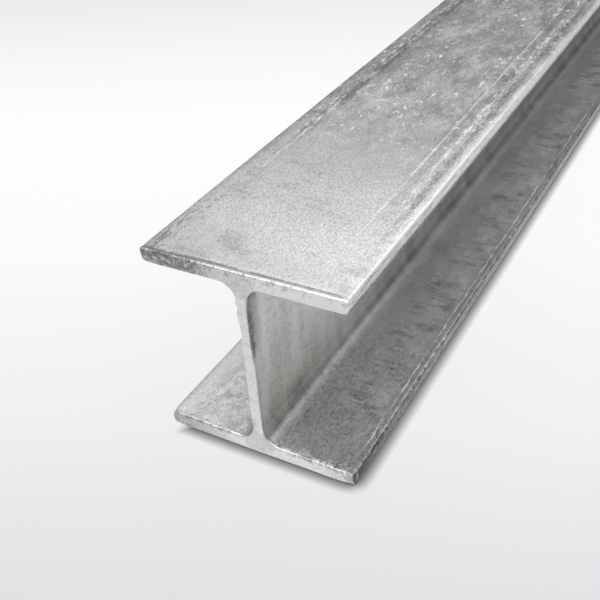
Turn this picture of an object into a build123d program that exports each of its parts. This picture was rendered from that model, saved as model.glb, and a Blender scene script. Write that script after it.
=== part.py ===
from build123d import *
import os

# Galvanised steel I-beam: a wide-flange section hot-rolled as one bar, sawn square at both ends
# and then dipped in molten zinc. It lies on its lower flange. The length runs along X, the web
# stands in the XZ plane, and the origin is on the underside, below the middle of the length.

# Driving dimensions in millimetres
length = 1000.0          # stock length between the sawn ends
depth = 102.0            # height over both flanges
flange_width = 100.0     # from toe to toe
flange_thickness = 7.2   # parallel flanges, as thick at the toes as at the root
web_thickness = 5.4
root_radius = 8.0        # rolled fillet between the web and each flange
toe_radius = 1.5         # rounding that the rolls leave along each flange edge
end_edge_radius = 0.8    # edge of the saw cut, dulled by the zinc


def rolled_section():
    """The I outline across the beam: two flanges joined by the web, rounded at roots and toes."""
    with BuildSketch(Plane.YZ.offset(-length / 2)) as section:
        with Locations((0, flange_thickness / 2), (0, depth - flange_thickness / 2)):
            Rectangle(flange_width, flange_thickness)
        with Locations((0, depth / 2)):
            Rectangle(web_thickness, depth - 2 * flange_thickness)
        root_corners, toe_corners = section.vertices().group_by(lambda corner: abs(corner.X))
        fillet(root_corners, root_radius)
        fillet(toe_corners, toe_radius)
    return section.sketch


def sawn_length(section):
    """The bar as cut to length, with the whole edge of each saw cut dulled."""
    bar = extrude(section, amount=length)
    saw_cuts = bar.faces().filter_by(Plane.YZ)
    return fillet(saw_cuts.edges(), end_edge_radius)


i_beam = sawn_length(rolled_section())

os.makedirs("parts", exist_ok=True)
export_step(i_beam, "parts/i_beam.step")
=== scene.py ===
import math

import bmesh
import bpy
import numpy as np
from mathutils import Matrix, Vector


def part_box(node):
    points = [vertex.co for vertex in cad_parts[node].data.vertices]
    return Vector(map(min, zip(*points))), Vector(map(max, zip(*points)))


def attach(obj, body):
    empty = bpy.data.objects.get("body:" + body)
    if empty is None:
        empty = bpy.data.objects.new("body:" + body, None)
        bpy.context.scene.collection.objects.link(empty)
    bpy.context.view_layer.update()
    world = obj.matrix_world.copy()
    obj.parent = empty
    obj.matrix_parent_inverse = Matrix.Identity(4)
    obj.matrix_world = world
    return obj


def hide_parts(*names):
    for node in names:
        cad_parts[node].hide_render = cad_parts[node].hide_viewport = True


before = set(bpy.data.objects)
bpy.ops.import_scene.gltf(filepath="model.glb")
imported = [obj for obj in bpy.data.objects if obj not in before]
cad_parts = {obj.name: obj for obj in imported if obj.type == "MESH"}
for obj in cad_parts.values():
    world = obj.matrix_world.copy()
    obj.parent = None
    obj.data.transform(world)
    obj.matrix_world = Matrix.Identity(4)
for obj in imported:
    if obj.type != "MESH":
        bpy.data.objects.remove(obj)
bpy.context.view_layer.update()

# The beam: one bar of mild steel, hot-rolled to an I section with parallel flanges, sawn square at
# both ends and then dipped in molten zinc. The zinc rounds every edge, freezes in ridges and beads
# where it drained off, and leaves shallow swells all over.
beam_low, beam_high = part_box("i_beam")
half_length = (beam_high.x - beam_low.x) / 2
half_width = (beam_high.y - beam_low.y) / 2
depth = beam_high.z - beam_low.z
flange_thickness = 0.0072
web_thickness = 0.0054
root_radius = 0.0080
toe_radius = 0.0015
sawn_edge_radius = 0.0011

# Lines that the rolls and the draining zinc left along the flanges, measured in from the toe
roll_mark = 0.0180
drip_line = 0.0110
drain_ridge = 0.0044

outer_steps = 14
inner_steps = 18
toe_steps = 4
bend_steps = 5
root_steps = 7
web_steps = 14
web_crowding = 1.5
line_step = 0.0006
cap_steps = 6
length_steps = 280
rim_steps = 9
rim_reach = 0.0055
end_crowding = 1.3


def flange_spread(start, end, steps, lines):
    """Shares of the way from start to end across a flange: even steps, and five more across each line."""
    across_line = line_step * np.arange(-2, 3)
    places = [np.linspace(start, end, steps)] + [half_width - line + across_line for line in lines]
    return np.unique(np.round((np.concatenate(places) - start) / (end - start), 3))


def half_outline(share):
    """Right half of the I section, from the middle of the top face round to the middle of the underside.

    Each column is a point's distance from the web's middle plane, its height, and the two parts of
    its outward normal. Straight runs are stepped along, and corners are quarter circles. As share goes
    from 0 to 1, thicknesses and radii shrink to nothing, so that the outline closes on its centreline."""
    left = 1 - share
    thickness = flange_thickness * left
    web = web_thickness / 2 * left
    root = root_radius * left
    toe = toe_radius * left
    reach = half_width - flange_thickness / 2 * share
    upper = depth - flange_thickness / 2 + thickness / 2
    lower = upper - thickness
    rim = half_width - toe_radius
    outer = flange_spread(0, rim, outer_steps, [roll_mark, drip_line])
    inner = flange_spread(web_thickness / 2 + root_radius, rim, inner_steps, [drain_ridge])[::-1]
    bend = np.linspace(0, math.pi / 2, bend_steps)
    root_bend = np.linspace(0, math.pi / 2, root_steps)
    down_toe = np.linspace(0, 1, toe_steps)
    down_web = np.linspace(0, 1, web_steps) ** web_crowding
    runs = (
        (outer * (reach - toe), upper, 0, 1),
        (reach - toe + toe * np.sin(bend), upper - toe + toe * np.cos(bend), np.sin(bend), np.cos(bend)),
        (reach, upper - toe - down_toe * (thickness - 2 * toe), 1, 0),
        (reach - toe + toe * np.cos(bend), lower + toe - toe * np.sin(bend), np.cos(bend), -np.sin(bend)),
        (web + root + inner * (reach - toe - web - root), lower, 0, -1),
        (web + root - root * np.sin(root_bend), lower - root + root * np.cos(root_bend),
         np.sin(root_bend), -np.cos(root_bend)),
        (web, lower - root - down_web * (lower - root - depth / 2), 1, 0),
    )
    quarter = np.hstack([np.array(np.broadcast_arrays(*run))[:, :-1] for run in runs])
    middle = np.array([[web], [depth / 2], [1], [0]])
    mirrored = quarter[:, ::-1] * [[1], [-1], [1], [-1]] + [[0], [depth], [0], [0]]
    return np.hstack([quarter, middle, mirrored])


def outline(share):
    """The whole I section as rows of y, z and outward normal, from the middle of the underside up round
    the left half and down round the right half, back to the same point."""
    right = half_outline(share) * [[-1], [1], [-1], [1]]
    left = right[:, ::-1] * [[-1], [1], [-1], [1]]
    return np.hstack([left[:, :-1], right])


def lattice_noise(points, size, seed):
    """Smooth random heights from -1 to 1: a random value at each corner of a cubic lattice of that
    size, blended inside each cell by the smooth step 3t^2 - 2t^3. The large numbers only scramble the
    corner's place and the seed."""
    at = points / size
    cell = np.floor(at).astype(np.int64)
    part = at - cell
    part = part * part * (3 - 2 * part)
    total = np.zeros(points.shape[:-1])
    for corner in np.ndindex(2, 2, 2):
        x, y, z = np.moveaxis(cell + corner, -1, 0)
        mixed = x * 73856093 ^ y * 19349663 ^ z * 83492791 ^ seed * 2654435761
        mixed = (mixed ^ mixed >> 13) * 1274126177
        value = ((mixed ^ mixed >> 16) & 65535) / 32767.5 - 1
        total += np.where(corner, part, 1 - part).prod(-1) * value
    return total


def bell(distance, width):
    """A bell curve: 1 at no distance, 1/e at the width."""
    return np.exp(-(distance / width) ** 2)


# Swells of the zinc, and wanderings of the lines where it drained: size of a wave, and height or shift
swells = ((0.060, 0.00008), (0.022, 0.00005), (0.009, 0.00003))
wanderings = ((0.011, 0.0003), (0.004, 0.0002))
ridge_break = 0.008
ridge_start = 0.03
ridge_ease = 0.08

# Height and width of the ridges on those lines, then of the bead on a saw cut's rim and the trough behind it
roll_mark_height, roll_mark_width = 0.00010, 0.0007
drip_height, drip_width = 0.00016, 0.0007
drain_height, drain_width = 0.00010, 0.0008
bead_height, bead_width, bead_in = 0.00020, 0.0009, 0.0007
bead_wave = 0.004
trough_depth, trough_width, trough_in = 0.00010, 0.0012, 0.0028
ragged_height, ragged_width, ragged_size = 0.00007, 0.0030, 0.006

# Lumps of dross on the left ledge, and how far the zinc between ridges lies under the rolled shape
lump_height, lump_size = 0.00036, 0.0060
lump_start, lump_ease = 0.007, 0.006
zinc_drop = 0.00012

# Dents in the near saw cut, and knobs where the depth is negative: y and z of the middle, radius and depth
dents = (
    (0.0027, 0.0858, 0.0016, -0.0006),
    (0.0027, 0.0830, 0.0012, 0.0006),
    (0.0027, 0.0806, 0.0015, -0.0006),
    (0.0027, 0.0772, 0.0020, -0.0005),
    (0.0027, 0.0742, 0.0016, 0.0006),
    (0.0027, 0.0690, 0.0020, 0.0005),
    (0.0012, 0.0170, 0.0022, 0.0007),
    (0.0500, 0.0948, 0.0026, 0.0006),
    (0.0500, 0.0000, 0.0026, 0.0006),
    (0.0500, 0.0072, 0.0028, 0.0008),
    (-0.0500, 0.0036, 0.0050, 0.0010),
    (-0.0500, 0.0948, 0.0024, 0.0005),
)


def zinc_relief(place, normal):
    """Height of the zinc over the rolled shape, in metres, at points with the given normals.

    It sums soft swells, ridges along the flanges, a bead on the ragged rim of each saw cut and lumps
    on the left ledge. A ridge is a bell curve across its line, and its height and its line wander.
    Dents are bells in space.
    All of it lies a little under the rolled shape, so that only ridges reach that."""
    x, y, z = np.moveaxis(place, -1, 0)
    toe_in = half_width - np.abs(y)
    end_in = half_length - np.abs(x)
    outward = normal[..., 2] * np.sign(z - depth / 2)
    on_outside = np.clip(outward, 0, 1)
    on_inside = np.clip(-outward, 0, 1)
    on_side = 1 - np.abs(normal[..., 0])
    swell = sum(high * lattice_noise(place, size, seed) for seed, (size, high) in enumerate(swells, 1))
    lengthwise = place * [1, 0, 1]
    wander = sum(shift * lattice_noise(lengthwise, size, seed)
                 for seed, (size, shift) in enumerate(wanderings, 4))
    broken = 0.5 + 0.5 * lattice_noise(lengthwise, ridge_break, 6)
    past_end = np.clip((end_in - ridge_start) / ridge_ease, 0, 1)
    rolled = roll_mark_height * bell(toe_in - roll_mark, roll_mark_width) * on_outside * (y < 0) * past_end
    dripped = drip_height * bell(toe_in - drip_line - wander, drip_width) * on_outside * broken * past_end
    drained = (drain_height * bell(toe_in - drain_ridge - wander, drain_width) * on_inside
               * (0.3 + 0.7 * broken))
    rim_wave = lattice_noise(place, bead_wave, 7)
    bead = (bead_height * bell(end_in - bead_in, bead_width) * (0.6 + 0.4 * rim_wave)
            - trough_depth * bell(end_in - trough_in, trough_width)) * on_side
    ragged = ragged_height * bell(end_in, ragged_width) * lattice_noise(place, ragged_size, 8)
    lumps = (lump_height * lattice_noise(place, lump_size, 9) * on_inside * (y > 0) * (z < depth / 2)
             * np.clip((toe_in - lump_start) / lump_ease, 0, 1))
    relief = swell + rolled + dripped + drained + bead + ragged + lumps
    for dent_y, dent_z, radius, deep in dents:
        middle = np.array([-half_length, dent_y, dent_z])
        relief = relief - deep * bell(np.linalg.norm(place - middle, axis=-1), radius)
    return relief - zinc_drop


def beam_skin():
    """The outline carried along a path of stations from the middle of one sawn end to the middle of
    the other: in each end the outline opens out from its centreline, turns the rounded edge of the
    saw cut, and runs the length, with stations closer together near the ends. The zinc's relief then
    moves each point along its normal, but not out of the rolled shape's box."""
    full, centreline = outline(0), outline(1)
    turn = np.linspace(0, math.pi / 2, bend_steps)
    opening = np.linspace(1, 0, cap_steps)[:-1]
    crowded = np.tanh(end_crowding * np.linspace(-1, 1, length_steps)) / math.tanh(end_crowding)
    rim = half_length - np.linspace(sawn_edge_radius, rim_reach, rim_steps)[1:]
    along = np.concatenate([-rim, crowded[1:-1] * rim[-1], rim[::-1]])
    # one row per station: x, inset from the outline, share, and the normal's parts outward and endward
    cap = np.stack(np.broadcast_arrays(-half_length, sawn_edge_radius, opening, 0, -1), 1)
    edge_x = -half_length + sawn_edge_radius * (1 - np.cos(turn))
    edge_inset = sawn_edge_radius * (1 - np.sin(turn))
    edge = np.stack(np.broadcast_arrays(edge_x, edge_inset, 0, np.sin(turn), -np.cos(turn)), 1)
    sides = np.stack(np.broadcast_arrays(along, 0, 0, 1, 0), 1)
    near = np.concatenate([cap, edge])
    far = near[::-1] * [-1, 1, 1, 1, -1]
    x, inset, share, outward, endward = np.concatenate([near, sides, far]).T[:, :, None]
    y, z, normal_y, normal_z = full[:, None, :]
    base_y = (y - inset * normal_y) * (1 - share) + centreline[0] * share
    base_z = (z - inset * normal_z) * (1 - share) + centreline[1] * share
    base = np.stack(np.broadcast_arrays(x, base_y, base_z), -1)
    normal = np.stack(np.broadcast_arrays(endward, outward * normal_y, outward * normal_z), -1)
    return np.clip(base + zinc_relief(base, normal)[..., None] * normal, beam_low, beam_high)


seam_gap = 0.00001
points = beam_skin()
rows, columns = points.shape[:2]
corner = np.arange(rows * columns).reshape(rows, columns)
faces = np.stack([corner[:-1, :-1], corner[1:, :-1], corner[1:, 1:], corner[:-1, 1:]], -1).reshape(-1, 4)
mesh = bpy.data.meshes.new("i_beam_skin")
mesh.from_pydata(points.reshape(-1, 3), [], faces)
shell = bmesh.new()
shell.from_mesh(mesh)
bmesh.ops.remove_doubles(shell, verts=shell.verts, dist=seam_gap)
bmesh.ops.recalc_face_normals(shell, faces=shell.faces)
shell.to_mesh(mesh)
shell.free()
mesh.shade_smooth()
beam = bpy.data.objects.new("i_beam_skin", mesh)
bpy.context.collection.objects.link(beam)


def colour(code):
    """An sRGB hex colour as linear red, green, blue and alpha."""
    srgb = np.array([int(code[at:at + 2], 16) for at in (1, 3, 5)]) / 255
    linear = np.where(srgb > 0.04045, ((srgb + 0.055) / 1.055) ** 2.4, srgb / 12.92)
    return (*linear.tolist(), 1.0)


def add(tree, kind, inputs=None, stops=(), **settings):
    """Adds a shader node with its settings and colour stops, links or sets its inputs, and returns its
    outputs."""
    made = tree.nodes.new("ShaderNode" + kind)
    for name, value in settings.items():
        setattr(made, name, value)
    for name, value in (inputs or {}).items():
        if isinstance(value, bpy.types.NodeSocket):
            tree.links.new(value, made.inputs[name])
        else:
            made.inputs[name].default_value = value
    for index, (at, code) in enumerate(stops):
        stop = made.color_ramp.elements[index] if index < 2 else made.color_ramp.elements.new(at)
        stop.position = at
        stop.color = colour(code)
    return made.outputs


def zone(tree, *limits):
    """The share of the surface, from 0 to 1, that lies inside every limit.

    A limit is a share made before, or a measure with the values at which it counts 0 and 1, or a measure
    with a line and the distances from that line at which it counts 0 and 1. In between it eases by the
    smooth step 3t^2 - 2t^3, and the limits are multiplied."""
    shares = []
    for limit in limits:
        if isinstance(limit, tuple):
            measure, *line, nought, full = limit
            if line:
                apart = add(tree, "Math", {0: measure, 1: line[0]}, operation="SUBTRACT")[0]
                measure = add(tree, "Math", {0: apart}, operation="ABSOLUTE")[0]
            limit = add(tree, "MapRange", {"Value": measure, "From Min": nought, "From Max": full},
                        interpolation_type="SMOOTHSTEP")[0]
        shares.append(limit)
    total = shares[0]
    for share in shares[1:]:
        total = add(tree, "Math", {0: total, 1: share}, operation="MULTIPLY")[0]
    return total


# Hot-dip galvanised steel: a skin of frozen zinc, pale, dull and almost neutral grey. Smooth zinc mirrors
# the dim room, while rougher zinc looks white beside it, so the eye sees clouds, flecks and lines.
# All lengths from here to the shader are in millimetres.
millimetre = 0.001
zinc = bpy.data.materials.new("hot_dip_galvanised_steel")
zinc.use_nodes = True
skin = zinc.node_tree
shader = skin.nodes["Principled BSDF"]
metres = add(skin, "TexCoord")["Object"]
place = add(skin, "VectorMath", {0: metres, "Scale": 1 / millimetre}, operation="SCALE")[0]
y, z = add(skin, "SeparateXYZ", {0: place})[1:]
top = depth / millimetre
web_face = (half_width - web_thickness / 2) / millimetre
root_end = web_face - root_radius / millimetre
root_top = (flange_thickness + root_radius) / millimetre
roll_row, drip_row, drain_row = (line / millimetre for line in (roll_mark, drip_line, drain_ridge))

# How far in a place is from the nearer end, from the nearer toes, and from the top or the underside
from_middle = add(skin, "VectorMath", {0: place, 1: (0.0, 0.0, top / 2)}, operation="SUBTRACT")[0]
from_middle = add(skin, "VectorMath", {0: from_middle}, operation="ABSOLUTE")[0]
half_size = (half_length / millimetre, half_width / millimetre, top / 2)
inward = add(skin, "VectorMath", {0: half_size, 1: from_middle}, operation="SUBTRACT")[0]
end_in, toe_in, face_in = add(skin, "SeparateXYZ", {0: inward})

# Right and left are as seen from the near end, the one at low X
on_outside = zone(skin, (face_in, 3.0, 1.2))
on_inside = zone(skin, (face_in, 1.2, 3.0))
on_right = zone(skin, (y, 1.0, -1.0))
on_left = zone(skin, (y, -1.0, 1.0))
upper_half = zone(skin, (z, top / 2 - 1, top / 2 + 1))
lower_half = zone(skin, (z, top / 2 + 1, top / 2 - 1))
on_saw_cut = zone(skin, (end_in, 1.2, 0.4))
past_cut = zone(skin, (end_in, 0.4, 1.2))
by_end = zone(skin, (end_in, 130.0, 60.0))
far_in = zone(skin, (end_in, 75.0, 180.0))

# The finish before any pattern: tone from 0, dark, to 1, white, relief in millimetres, the rest as shares
finish = {"tone": 0.55, "relief": 0.0, "roughness": 0.36, "grime": 0.0, "warmth": 0.0}


def lay(share, **steps):
    """Lays one pattern on the zinc: each step is what a full share adds to that part of the finish."""
    for part, step in steps.items():
        finish[part] = add(skin, "Math", {0: share, 1: step, 2: finish[part]}, operation="MULTIPLY_ADD")[0]


seed_step = (7.3, 3.1, 5.7)


def patches(size, cut, seed, detail=3.0, coarse=0.5):
    """Random patches as a share from 0 to 1: noise with cells of the given size along X, Y and Z, eased
    between the two levels of the cut. Each finer layer of the noise has the coarse share of the last,
    and the seed moves the pattern, so that no two line up."""
    start = tuple(seed * step for step in seed_step)
    scale = tuple(1 / side for side in size)
    cells = add(skin, "VectorMath", {0: place, 1: scale, 2: start}, operation="MULTIPLY_ADD")[0]
    noise = add(skin, "TexNoise", {"Vector": cells, "Scale": 1.0, "Detail": detail, "Roughness": coarse})[0]
    return zone(skin, (noise, *cut))


# A cell this wide keeps a pattern the same all along that axis
wide = 10000.0

# The whole skin: grain, sandy by the ends and cloudy further in. Zinc's own grain is finer than a pixel,
# so it is drawn almost a millimetre wide, as coarse as it needs to show.
grain = patches((0.9, 0.8, 0.8), (0.25, 0.75), seed=1, detail=2.0, coarse=0.7)
lay(grain, tone=0.26, relief=0.022)
lay(zone(skin, grain, on_saw_cut), tone=-0.11)
mottle = patches((7.0, 5.0, 5.0), (0.30, 0.70), seed=3, detail=3.0, coarse=0.6)
lay(mottle, tone=0.04, roughness=0.03)
lay(by_end, roughness=0.06)
lay(far_in, tone=-0.03, roughness=-0.08)
lay(zone(skin, by_end, patches((2.4, 1.6, 1.6), (0.52, 0.64), seed=2)), tone=-0.12)
specks = zone(skin, by_end, patches((3.0, 2.2, 2.2), (0.68, 0.74), seed=12, detail=2.0))
lay(specks, tone=-0.20, relief=-0.030, roughness=0.05)
clouds = zone(skin, far_in, patches((22.0, 12.0, 12.0), (0.30, 0.70), seed=4, detail=6.0, coarse=0.8))
lay(clouds, tone=0.08, roughness=0.15)

# The flanges' outer faces: coarser grit, smears across them by the ends, shadows and white flecks
# further in, and broken white beads along the drip lines
lay(on_outside, tone=-0.11)
lay(zone(skin, on_outside, (end_in, 80.0, 45.0, 15.0)), tone=-0.05)
grit = zone(skin, on_outside, (end_in, -40.0, 50.0),
            patches((1.2, 1.0, 1.0), (0.30, 0.70), seed=19, detail=2.0, coarse=0.7))
lay(grit, tone=0.35, relief=0.028)
# Painted highlight: the flanges' outer faces a little lighter towards the right by the ends
lay(zone(skin, on_outside, by_end, (y, -8.0, -40.0)), tone=0.05)
smears = patches((10.0, 20.0, wide), (0.52, 0.70), seed=39, detail=4.0, coarse=0.6)
lay(zone(skin, on_outside, by_end, smears), tone=-0.18)
shadows = patches((11.0, 4.5, 4.5), (0.54, 0.68), seed=38, detail=4.0, coarse=0.6)
lay(zone(skin, on_outside, far_in, shadows), tone=-0.10)
flecks = zone(skin, on_outside, far_in,
              patches((5.2, 2.8, 2.8), (0.58, 0.68), seed=5, detail=3.0, coarse=0.6),
              patches((40.0, 20.0, 20.0), (0.40, 0.56), seed=6))
lay(flecks, tone=0.17, roughness=0.20)
drip = zone(skin, on_outside, (toe_in, drip_row, 2.2, 0.4), (end_in, 40.0, 140.0),
            patches((7.0, 1.2, wide), (0.48, 0.60), seed=9, detail=4.0, coarse=0.65))
lay(drip, tone=0.30, roughness=0.12)

# The right edge: the rolls' line and its shadow, a gritty lane with a dark one beside it, and a white band
on_right_face = zone(skin, on_outside, on_right)
lane_start = zone(skin, (end_in, 35.0, 85.0))
roll_line = zone(skin, on_right_face, (toe_in, roll_row, 1.0, 0.2), lane_start,
                 patches((20.0, wide, wide), (0.25, 0.60), seed=8))
lay(roll_line, tone=0.08, roughness=0.12)
roll_shade = zone(skin, on_right_face, (toe_in, roll_row + 1.4, 1.0, 0.3), far_in,
                  patches((30.0, wide, wide), (0.40, 0.60), seed=36))
lay(roll_shade, tone=-0.14)
lane = zone(skin, on_right_face, (toe_in, 8.5, 5.5, 3.0), lane_start)
lay(lane, tone=-0.13)
lay(zone(skin, on_right_face, (toe_in, 14.5, 4.0, 2.5), lane_start), tone=-0.09)
lane_grit = zone(skin, lane, patches((2.4, 1.2, wide), (0.42, 0.58), seed=22, detail=2.0, coarse=0.7))
lay(lane_grit, tone=0.22, relief=0.030, roughness=0.05)
dark_lane = zone(skin, on_right_face, (toe_in, 6.0, 2.6, 0.8), lane_start,
                 patches((10.0, 1.6, wide), (0.26, 0.56), seed=10, detail=4.0, coarse=0.65))
lay(dark_lane, tone=-0.28)
fray = patches((5.0, 1.2, 1.2), (0.25, 0.75), seed=20, detail=3.0, coarse=0.6)
toe_fray, end_fray = 2.4, 1.8
frayed_toe = add(skin, "Math", {0: fray, 1: toe_fray, 2: toe_in}, operation="MULTIPLY_ADD")[0]
toe_band = zone(skin, on_right_face, (frayed_toe, 5.6, 1.4), (end_in, 20.0, 90.0), (end_in, 480.0, 130.0))
lay(toe_band, tone=0.10, roughness=0.14)
# Painted highlight: the rounded outer edges of the right toes lighter
lay(zone(skin, on_right, (toe_in, 1.3, 0.7), (face_in, 1.3, 0.7)), tone=0.16, roughness=0.06)
right_toe = zone(skin, on_right, (toe_in, 1.4, 0.6))
# Painted highlight: the upper right toe's side lighter, more so by the ends
lay(zone(skin, right_toe, upper_half), tone=0.16)
lay(zone(skin, right_toe, upper_half, (end_in, 220.0, 80.0)), tone=0.13)
toe_streaks = patches((5.0, wide, 1.0), (0.35, 0.65), seed=43, detail=4.0, coarse=0.65)
lay(zone(skin, right_toe, (face_in, 0.8, 1.8), toe_streaks), tone=-0.18)
# Painted shade: the lower part of the upper right toe darker
lay(zone(skin, right_toe, (z, top - 6.6, 2.2, 1.0)), tone=-0.46)
toe_line = zone(skin, right_toe, (face_in, 1.7, 0.6, 0.2), (end_in, 260.0, 80.0),
                patches((10.0, wide, wide), (0.25, 0.55), seed=21))
lay(toe_line, tone=-0.60, relief=-0.060)
# Painted shade: the lower right toe darker all along, with more by the ends and further in
low_toe = zone(skin, right_toe, lower_half)
lay(low_toe, tone=-0.14)
lay(zone(skin, low_toe, (end_in, 70.0, 10.0)), tone=-0.16)
lay(zone(skin, low_toe, (end_in, 50.0, 150.0)), tone=-0.10)

# The left edge: dark dashes and dots by the end, then a dark lane with white beads along it
on_left_face = zone(skin, on_outside, on_left)
dashes = zone(skin, on_left_face, (toe_in, 5.2, 2.6, 1.0), (end_in, 45.0, 30.0),
              patches((7.0, 1.8, wide), (0.46, 0.54), seed=37))
lay(dashes, tone=-0.36, relief=-0.030, roughness=0.05)
dots = zone(skin, on_left_face, (toe_in, 8.8, 1.6, 0.6), (end_in, 130.0, 100.0),
            patches((3.0, 2.2, wide), (0.54, 0.62), seed=35))
lay(dots, tone=-0.30, relief=-0.030, roughness=0.05)
left_lane = zone(skin, on_left_face, (toe_in, 11.8, 4.8, 1.6), far_in,
                 patches((16.0, 4.0, wide), (0.36, 0.56), seed=23, detail=4.0, coarse=0.6))
lay(left_lane, tone=-0.34)
lay(zone(skin, on_left_face, (toe_in, 30.0, 10.0), far_in), tone=-0.10)
left_beads = zone(skin, on_left_face, (toe_in, 8.5, 1.6, 0.4), far_in,
                  patches((6.0, 3.0, wide), (0.50, 0.60), seed=34, detail=3.0, coarse=0.65))
lay(left_beads, tone=0.22, roughness=0.14)

# The rims of the saw cuts: a shallow trough behind the bead, darkened and greyed by painted shade, and chips
# in the bead
trough = zone(skin, on_outside, (end_in, 3.0, 0.9, 0.3), (y, -49.0, -42.0), (y, 40.0, 16.0),
              patches((wide, 12.0, 12.0), (0.30, 0.55), seed=26, detail=4.0, coarse=0.65))
lay(trough, tone=-0.40, relief=-0.030, roughness=0.05, grime=0.15)
on_rim = zone(skin, (end_in, 0.6, 0.9, 0.4))
chips = zone(skin, on_rim, (z, top - 4.0, top - 2.0),
             patches((3.0, 2.6, 2.6), (0.51, 0.63), seed=27, detail=3.0, coarse=0.6))
lay(chips, tone=-0.36, relief=-0.120, roughness=0.10)
low_chips = zone(skin, on_rim, (toe_in, 40.0, 36.0), (z, 7.2, 2.6, 1.4),
                 patches((6.0, 5.0, 6.0), (0.46, 0.58), seed=42, detail=3.0, coarse=0.6))
lay(low_chips, tone=-0.34, relief=-0.080)

# The web: upright runs, and painted shade that darkens it further in, in its roots and low down, with more
# painted shade low down on the right face near each end and beside the burr
on_web = zone(skin, on_inside, past_cut, (toe_in, root_end, web_face - 1))
lay(on_web, tone=0.14)
lay(zone(skin, on_inside, on_right, past_cut, by_end), warmth=0.5)
lay(zone(skin, grain, on_web), tone=-0.12)
# Painted shade: the web darker further in from the ends
lay(zone(skin, on_web, (end_in, 50.0, 170.0)), tone=-0.21)
web_runs = zone(skin, on_web, patches((9.0, wide, 60.0), (0.35, 0.65), seed=13, detail=3.0, coarse=0.5),
                patches((70.0, wide, 50.0), (0.30, 0.60), seed=31))
lay(web_runs, tone=-0.17)
# Painted shade: the right face darker low down near the ends, and darker still in a patch at its foot
lay(zone(skin, on_web, on_right, (z, 34.0, 16.0), (end_in, 80.0, 30.0)), tone=-0.10)
lay(zone(skin, on_inside, on_right, (end_in, 34.0, 16.0, 2.0), (z, 15.0, 9.0, 1.0)), tone=-0.18)
lay(zone(skin, on_web, on_right, (end_in, 12.0, 3.0), (z, 78.0, 24.0, 12.0)), tone=-0.32)
# Painted shade: the roots darker
in_root = zone(skin, on_inside, (toe_in, root_end + 1.5, root_end + 4.5),
               (face_in, root_top - 1, root_top - 4))
lay(in_root, tone=-0.15)
# Painted shade: the right face a little darker low down all along
lay(zone(skin, on_web, on_right, (z, 30.0, 13.0)), tone=-0.05)

# The ledges inside the flanges: the right one is darkened by painted shade, with tongues and pale patches of
# dross, beads by the saw cut painted white as a highlight, and a white ridge where zinc drained along its
# toe. The left one is lumpy, pitted and a little stained.
on_ledge = zone(skin, on_inside, past_cut, (toe_in, web_face - 1, root_end))
lay(on_ledge, tone=0.07, roughness=0.10)
right_ledge = zone(skin, on_ledge, on_right)
# Painted shade: the right ledge darker than the left
lay(right_ledge, tone=-0.14)
dull_dross = zone(skin, right_ledge,
                  patches((25.0, 10.0, wide), (0.40, 0.62), seed=28, detail=4.0, coarse=0.6))
lay(dull_dross, tone=-0.06)
ledge_sand = zone(skin, right_ledge, by_end,
                  patches((3.0, 2.2, 2.2), (0.40, 0.62), seed=32, detail=3.0, coarse=0.65))
lay(ledge_sand, tone=-0.14)
mid_ledge = zone(skin, right_ledge, (toe_in, 18.0, 14.0, 9.0), (end_in, 15.0, 50.0))
lay(mid_ledge, tone=0.07)
tongues = zone(skin, mid_ledge, patches((6.0, 22.0, wide), (0.53, 0.36), seed=14, detail=4.0, coarse=0.7),
               patches((18.0, 20.0, wide), (0.38, 0.54), seed=40, detail=3.0, coarse=0.6))
lay(tongues, tone=-0.28)
pale_dross = zone(skin, mid_ledge, patches((12.0, 9.0, wide), (0.50, 0.60), seed=48, detail=4.0, coarse=0.6))
lay(pale_dross, tone=0.08)
glints = zone(skin, right_ledge, (end_in, 8.0, 2.0),
              patches((2.2, 1.6, 1.6), (0.60, 0.68), seed=33, detail=2.0))
lay(glints, tone=0.42, relief=0.040, roughness=0.10)
lay(zone(skin, right_ledge, lower_half, (end_in, 30.0, 8.0), (toe_in, 34.0, 16.0)), tone=-0.03)
# Beads on the saw cut's rim, with a painted highlight that whitens them
rim_beads_and_highlight = zone(skin, right_ledge, lower_half, (end_in, 1.3, 1.7, 0.7), (toe_in, 3.0, 10.0),
                 patches((wide, 3.2, wide), (0.42, 0.56), seed=47, detail=4.0, coarse=0.7))
lay(rim_beads_and_highlight, tone=0.50, relief=0.040, roughness=0.12)
corner_specks = zone(skin, right_ledge, lower_half, (end_in, 16.0, 3.0), (toe_in, 16.0, 5.0),
                     patches((1.8, 1.4, 1.4), (0.44, 0.58), seed=44, detail=3.0, coarse=0.65))
lay(corner_specks, tone=-0.17)
# Painted shade: darker where the lower right toe meets each saw cut
lay(zone(skin, on_right, lower_half, (toe_in, 3.0, 1.0), (end_in, 2.6, 1.0)), tone=-0.30)
wander = patches((9.0, wide, wide), (0.20, 0.80), seed=25)
line_wander = 1.2
wandering_toe = add(skin, "Math", {0: wander, 1: line_wander, 2: toe_in}, operation="MULTIPLY_ADD")[0]
drain_line = zone(skin, right_ledge, (wandering_toe, drain_row + 0.6, 0.55, 0.15), (end_in, 6.0, 30.0),
                  patches((7.0, wide, wide), (0.36, 0.62), seed=24, detail=3.0, coarse=0.7))
lay(drain_line, tone=0.44, relief=0.050, roughness=0.14)
lay(zone(skin, right_ledge, (wandering_toe, drain_row + 0.3, drain_row - 0.3)), tone=-0.08, roughness=-0.05)
toe_dots = zone(skin, right_ledge, lower_half, (toe_in, 0.8, 0.8, 0.2),
                patches((3.6, wide, wide), (0.50, 0.66), seed=29, detail=4.0, coarse=0.7))
lay(toe_dots, tone=0.36, roughness=0.10)
left_ledge = zone(skin, on_ledge, on_left, (toe_in, 6.0, 14.0))
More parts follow.
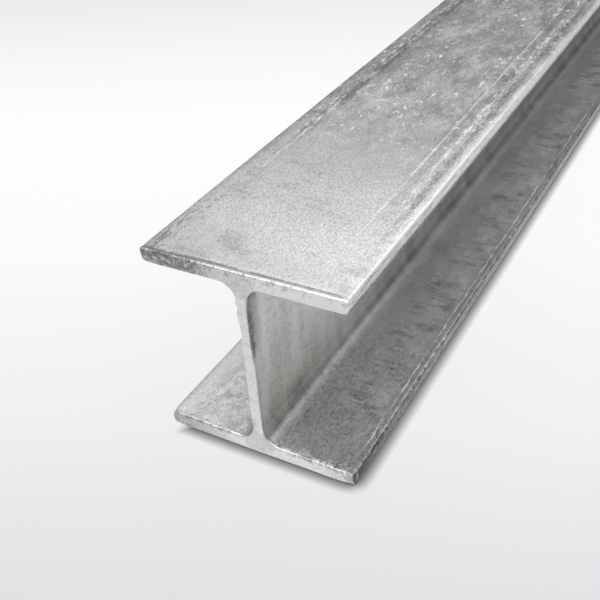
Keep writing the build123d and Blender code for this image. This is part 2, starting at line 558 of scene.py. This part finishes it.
lumps = zone(skin, left_ledge, patches((5.6, 4.4, 4.4), (0.30, 0.70), seed=15, detail=3.0, coarse=0.55))
lay(lumps, tone=0.11, relief=0.240, roughness=0.05)
ledge_pits = zone(skin, left_ledge, patches((2.6, 2.2, wide), (0.64, 0.72), seed=41, detail=2.0))
lay(ledge_pits, tone=-0.26, relief=-0.060)
stains = zone(skin, left_ledge, patches((10.0, 7.0, wide), (0.46, 0.66), seed=30, detail=5.0, coarse=0.7))
lay(stains, grime=0.4)

# The saw cuts: brighter and smoother, lighter at the upper right by a painted highlight, sooty at the upper
# left, dull at the lower left, pitted at the lower right corner, and with a painted shadow of a burr along
# one edge of the web
lay(on_saw_cut, tone=0.23)
lay(zone(skin, on_saw_cut, (z, 10.0, 30.0)), warmth=0.8)
# Painted highlight: the upper right of each saw cut lighter and a little rougher
lay(zone(skin, on_saw_cut, (y, 10.0, -30.0), (z, 82.0, 92.0)), tone=0.13, roughness=0.06)
lay(zone(skin, on_saw_cut, lower_half, (y, 6.0, 42.0)), tone=-0.34)
lay(zone(skin, on_saw_cut, lower_half, (y, 40.0, 49.0)), tone=-0.12)
corner_pits = zone(skin, on_saw_cut, lower_half, (y, -34.0, -47.0),
                   patches((1.8, 1.6, 1.6), (0.36, 0.58), seed=46, detail=3.0, coarse=0.65))
lay(corner_pits, tone=-0.36, relief=-0.030)
pits = zone(skin, on_saw_cut, patches((2.0, 2.0, 2.0), (0.67, 0.73), seed=17, detail=2.0))
lay(pits, tone=-0.26, relief=-0.060, roughness=0.05)
saw_marks = zone(skin, on_saw_cut, patches((4.0, 4.0, 4.0), (0.30, 0.70), seed=18, detail=5.0, coarse=0.75))
lay(saw_marks, tone=0.13, relief=0.040, roughness=0.08)
soot = zone(skin, (end_in, 3.6, 1.2), (y, 4.0, 26.0), (z, 82.0, 92.0),
            patches((2.4, 1.8, 1.6), (0.24, 0.62), seed=16, detail=4.0, coarse=0.75))
lay(soot, grime=1.15)
frayed_end = add(skin, "Math", {0: fray, 1: end_fray, 2: end_in}, operation="MULTIPLY_ADD")[0]
# Painted shadow of a burr: a dark, greyed, jagged line along the web's right edge on each saw cut
burr_shadow = zone(skin, on_right, (toe_in, web_face + 0.8, web_face + 0.2), (frayed_end, 5.6, 3.4),
            (z, 72.0, 21.0, 8.0),
            patches((2.4, wide, 3.0), (0.28, 0.50), seed=45, detail=3.0, coarse=0.65))
lay(burr_shadow, tone=-0.06, grime=1.15)

# Tone, grime with painted shade, and warmth become the zinc's colour
dark_zinc, white_zinc = "#5A5754", "#FAFAFA"
soot_and_shade_grey = "#797775"
warm_zinc = "#FEFBF8"
grime_cover = 0.8
grey = add(skin, "ValToRGB", {0: finish["tone"]}, ((0.0, dark_zinc), (1.0, white_zinc)))[0]
grime = add(skin, "Math", {0: finish["grime"], 1: grime_cover}, operation="MULTIPLY", use_clamp=True)[0]
stained_and_shaded = add(skin, "Mix", {0: grime, 6: grey, 7: colour(soot_and_shade_grey)}, data_type="RGBA")[2]
warmed = add(skin, "Mix", {0: finish["warmth"], 6: stained_and_shaded, 7: colour(warm_zinc)}, data_type="RGBA",
             blend_type="MULTIPLY")[2]
skin.links.new(warmed, shader.inputs["Base Color"])
skin.links.new(finish["roughness"], shader.inputs["Roughness"])
bumped = add(skin, "Bump", {"Height": finish["relief"], "Distance": millimetre})[0]
skin.links.new(bumped, shader.inputs["Normal"])
shader.inputs["Metallic"].default_value = 1.0
mesh.materials.append(zinc)

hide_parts("i_beam")
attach(beam, "root")

# The floor: a plain pale studio table under the beam. The camera, and the metal's reflections, see it
# as a pale paper sweep, lightest in the middle; the camera alone also sees a painted soft shadow where the
# beam meets it.
floor_reach = 30.0
sweep_heading = 0.40
sweep_greys = ((-0.560, "#DADCDE"), (-0.440, "#EFEFEF"), (-0.280, "#FBFBFB"), (-0.100, "#FEFEFE"),
               (0.055, "#F8F8F8"), (0.235, "#EDEDED"))
sweep_start, sweep_end = sweep_greys[0][0], sweep_greys[-1][0]
sweep_fade_start, sweep_fade_end = 0.9, 2.0
paper_grey = "#EEEEEE"
contact_grey = "#141414"
contact_reach = 0.0066
contact_depth = 2.6
lit_side_start, lit_side_full = half_width - 0.014, half_width - 0.003
cast_shadow_share = 0.08
floor_mesh = bpy.data.meshes.new("floor")
floor_mesh.from_pydata([(-floor_reach, -floor_reach, 0), (floor_reach, -floor_reach, 0),
                        (floor_reach, floor_reach, 0), (-floor_reach, floor_reach, 0)], [], [(0, 1, 2, 3)])
floor = bpy.data.objects.new("floor", floor_mesh)
bpy.context.collection.objects.link(floor)
table = bpy.data.materials.new("pale_paper")
table.use_nodes = True
tree = table.node_tree
tree.nodes.clear()
spot = add(tree, "TexCoord")["Object"]
sweep_axis = (math.cos(sweep_heading), math.sin(sweep_heading), 0.0)
along_sweep = add(tree, "VectorMath", {0: spot, 1: sweep_axis}, operation="DOT_PRODUCT")["Value"]
sweep_span = {"Value": along_sweep, "From Min": sweep_start, "From Max": sweep_end}
sweep_share = add(tree, "MapRange", sweep_span)[0]
stops = [((at - sweep_start) / (sweep_end - sweep_start), code) for at, code in sweep_greys]
paper = add(tree, "ValToRGB", {0: sweep_share}, stops)[0]
near_foot = (beam_low.x, 0.0, 0.0)
from_near_end = add(tree, "VectorMath", {0: spot, 1: near_foot}, operation="DISTANCE")["Value"]
far_off = zone(tree, (from_near_end, sweep_fade_start, sweep_fade_end))
paper = add(tree, "Mix", {0: far_off, 6: paper, 7: colour(sweep_greys[-1][1])}, data_type="RGBA")[2]
# Painted shadow: the floor darkened where little sky is open close to the beam, left off beyond its lit left
# side
open_sky = add(tree, "AmbientOcclusion", {"Distance": contact_reach}, samples=16)["AO"]
contact = add(tree, "Math", {0: open_sky, 1: contact_depth}, operation="POWER")[0]
across = add(tree, "SeparateXYZ", {0: spot})["Y"]
lit_side = zone(tree, (across, lit_side_start, lit_side_full))
contact = add(tree, "Math", {0: contact, 1: lit_side}, operation="MAXIMUM")[0]
rays = add(tree, "LightPath")
reflected = add(tree, "Math", {0: 1.0, 1: rays["Is Camera Ray"]}, operation="SUBTRACT")[0]
contact = add(tree, "Math", {0: contact, 1: reflected}, operation="MAXIMUM")[0]
paper = add(tree, "Mix", {0: contact, 6: colour(contact_grey), 7: paper}, data_type="RGBA")[2]
glow = add(tree, "Emission", {"Color": paper, "Strength": 1.0})[0]
matt = add(tree, "BsdfDiffuse", {"Color": colour(paper_grey)})[0]
seen = add(tree, "Math", {0: rays["Is Camera Ray"], 1: rays["Is Glossy Ray"]}, operation="ADD")[0]
seen = add(tree, "Math", {0: seen, 1: rays["Is Transmission Ray"]}, operation="ADD", use_clamp=True)[0]
seen = add(tree, "Math", {0: seen, 1: 1 - cast_shadow_share}, operation="MULTIPLY")[0]
surface = add(tree, "MixShader", {0: seen, 1: matt, 2: glow})[0]
add(tree, "OutputMaterial", {"Surface": surface})
floor_mesh.materials.append(table)

# The light: one wide soft box overhead, a small one from the front left, and a dim room.
room_grey = "#7C7C7C"
world = bpy.data.worlds.new("studio")
bpy.context.scene.world = world
world.use_nodes = True
tree = world.node_tree
tree.nodes.clear()
room = add(tree, "Background", {"Color": colour(room_grey), "Strength": 1.0})[0]
add(tree, "OutputWorld", {"Surface": room})

near_end = Vector((beam_low.x, 0, depth))
for name, stand, aim_at, size, radiance in (
    ("overhead_softbox", Vector((-0.40, -0.35, 1.05)), Vector((-0.40, -0.35, 0)), 2.2, 1.75),
    ("left_softbox", near_end + Vector((-0.65, 0.60, 0.80)), near_end, 0.45, 3.4),
):
    lamp = bpy.data.lights.new(name, "AREA")
    lamp.shape = "SQUARE"
    lamp.size = size
    lamp.energy = radiance * math.pi * size * size
    light = bpy.data.objects.new(name, lamp)
    light.location = stand
    light.rotation_euler = (aim_at - stand).to_track_quat("-Z", "Y").to_euler()
    bpy.context.collection.objects.link(light)

# The camera: close to the near sawn end, above it and to its right, turned a little on its axis.
camera_place = Vector((beam_low.x - 0.2393, -0.1770, 0.2980))
heading, descent, roll = (math.radians(angle) for angle in (31.75, 35.54, 4.71))
sensor_width = 36.0
image_width_px = 600
focal_length_px = 883.2
lens = bpy.data.cameras.new("camera")
lens.sensor_width = sensor_width
lens.lens = sensor_width * focal_length_px / image_width_px
lens.clip_start = 0.01
camera = bpy.data.objects.new("camera", lens)
aim = Vector((math.cos(heading) * math.cos(descent), math.sin(heading) * math.cos(descent),
              -math.sin(descent)))
camera.matrix_world = (Matrix.Translation(camera_place) @ aim.to_track_quat("-Z", "Y").to_matrix().to_4x4()
                       @ Matrix.Rotation(-roll, 4, "Z"))
bpy.context.collection.objects.link(camera)
bpy.context.scene.camera = camera
bpy.context.scene.view_settings.view_transform = "Standard"
